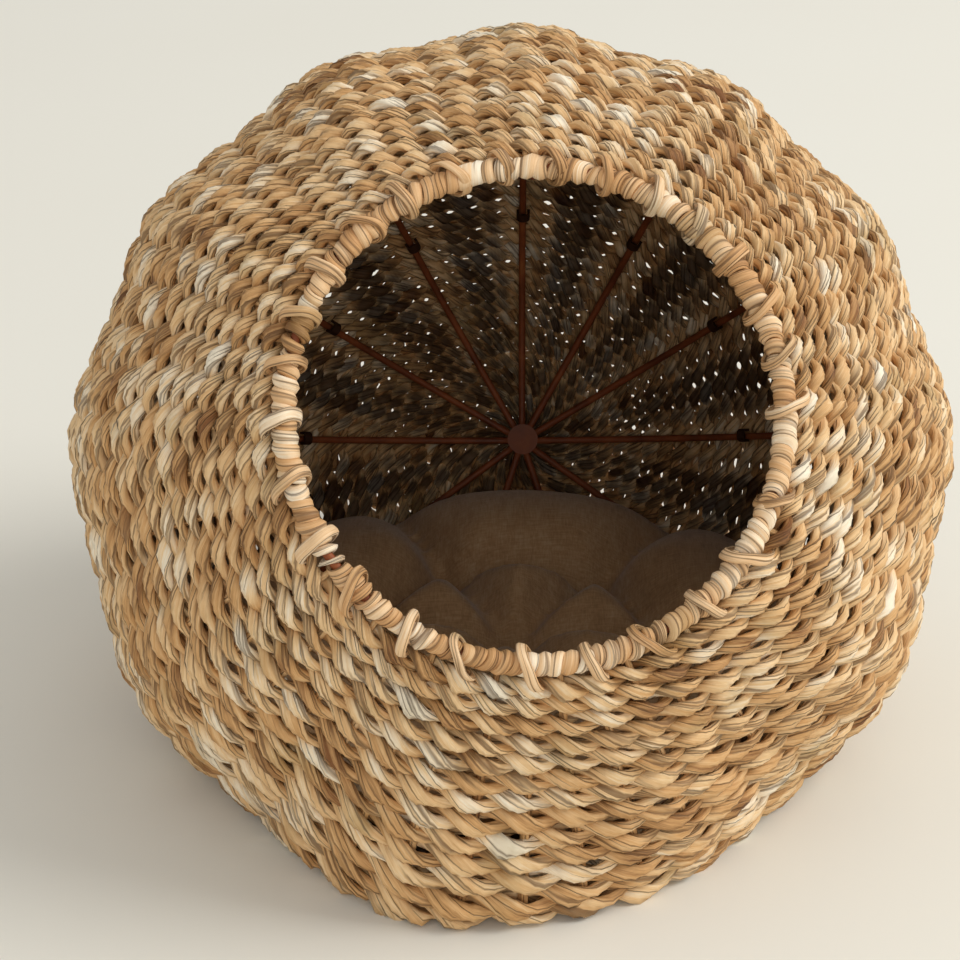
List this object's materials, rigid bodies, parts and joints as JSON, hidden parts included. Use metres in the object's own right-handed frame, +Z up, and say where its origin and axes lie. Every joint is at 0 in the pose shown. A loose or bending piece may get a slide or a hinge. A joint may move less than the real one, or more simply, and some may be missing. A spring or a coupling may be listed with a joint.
{
  "type": "woven pet cave",
  "caption": "Ball-shaped twined seagrass pet cave with a round wrapped mouth tipped up at the front, a wire frame inside and a tufted cushion.",
  "frame": {"origin": "middle of the flat base, on the floor", "axes": "+Z up, the mouth faces -Y and tips up, +X to the right seen from the mouth"},
  "size_m": [0.4499, 0.45, 0.368],
  "materials": {
    "seagrass_weave": "dry matt twisted seagrass, straw to tan, striated along the strand",
    "seagrass_rim": "dry satin seagrass strips wrapped round the mouth, warm tan",
    "cane_stake": "dull brown cane",
    "frame_wire": "rust-brown painted steel wire",
    "linen": "greige slubby linen",
    "linen_thread": "waxed thread",
    "cushion_fill": "loose polyester fibre"
  },
  "bodies": {
    "basket": {"front_ring": "frame_wire", "rim_wrap": "seagrass_rim", "rim_lashings": "seagrass_rim", "back_hub": "frame_wire", "rib_01": "frame_wire", "rib_02": "frame_wire", "rib_03": "frame_wire", "rib_04": "frame_wire", "rib_05": "frame_wire", "rib_06": "frame_wire", "rib_07": "frame_wire", "rib_08": "frame_wire", "rib_09": "frame_wire", "rib_10": "frame_wire", "rib_11": "frame_wire", "rib_ties": "seagrass_weave", "stakes_01": "cane_stake", "stakes_02": "cane_stake", "stakes_03": "cane_stake", "stakes_04": "cane_stake", "stakes_05": "cane_stake", "stakes_06": "cane_stake", "stakes_07": "cane_stake", "stakes_08": "cane_stake", "stakes_09": "cane_stake", "stakes_10": "cane_stake", "stakes_11": "cane_stake", "course_01": "seagrass_weave", "course_02": "seagrass_weave", "course_03": "seagrass_weave", "course_04": "seagrass_weave", "course_05": "seagrass_weave", "course_06": "seagrass_weave", "course_07": "seagrass_weave", "course_08": "seagrass_weave", "course_09": "seagrass_weave", "course_10": "seagrass_weave", "course_11": "seagrass_weave", "course_12": "seagrass_weave", "backing_01": "seagrass_weave", "backing_02": "seagrass_weave", "backing_03": "seagrass_weave", "backing_04": "seagrass_weave", "backing_05": "seagrass_weave", "backing_06": "seagrass_weave", "backing_07": "seagrass_weave", "backing_08": "seagrass_weave", "backing_09": "seagrass_weave", "backing_10": "seagrass_weave", "backing_11": "seagrass_weave", "backing_12": "seagrass_weave"},
    "cushion": {"cushion_top_panel": "linen", "cushion_base_panel": "linen", "cushion_filling": "cushion_fill", "cushion_tuft_ties": "linen_thread"}
  },
  "joints": [
    {"name": "cushion_lift", "type": "slide", "parent": "basket", "child": "cushion", "axis": [0, 0, 1], "range_m": [0, 0.05]}
  ]
}
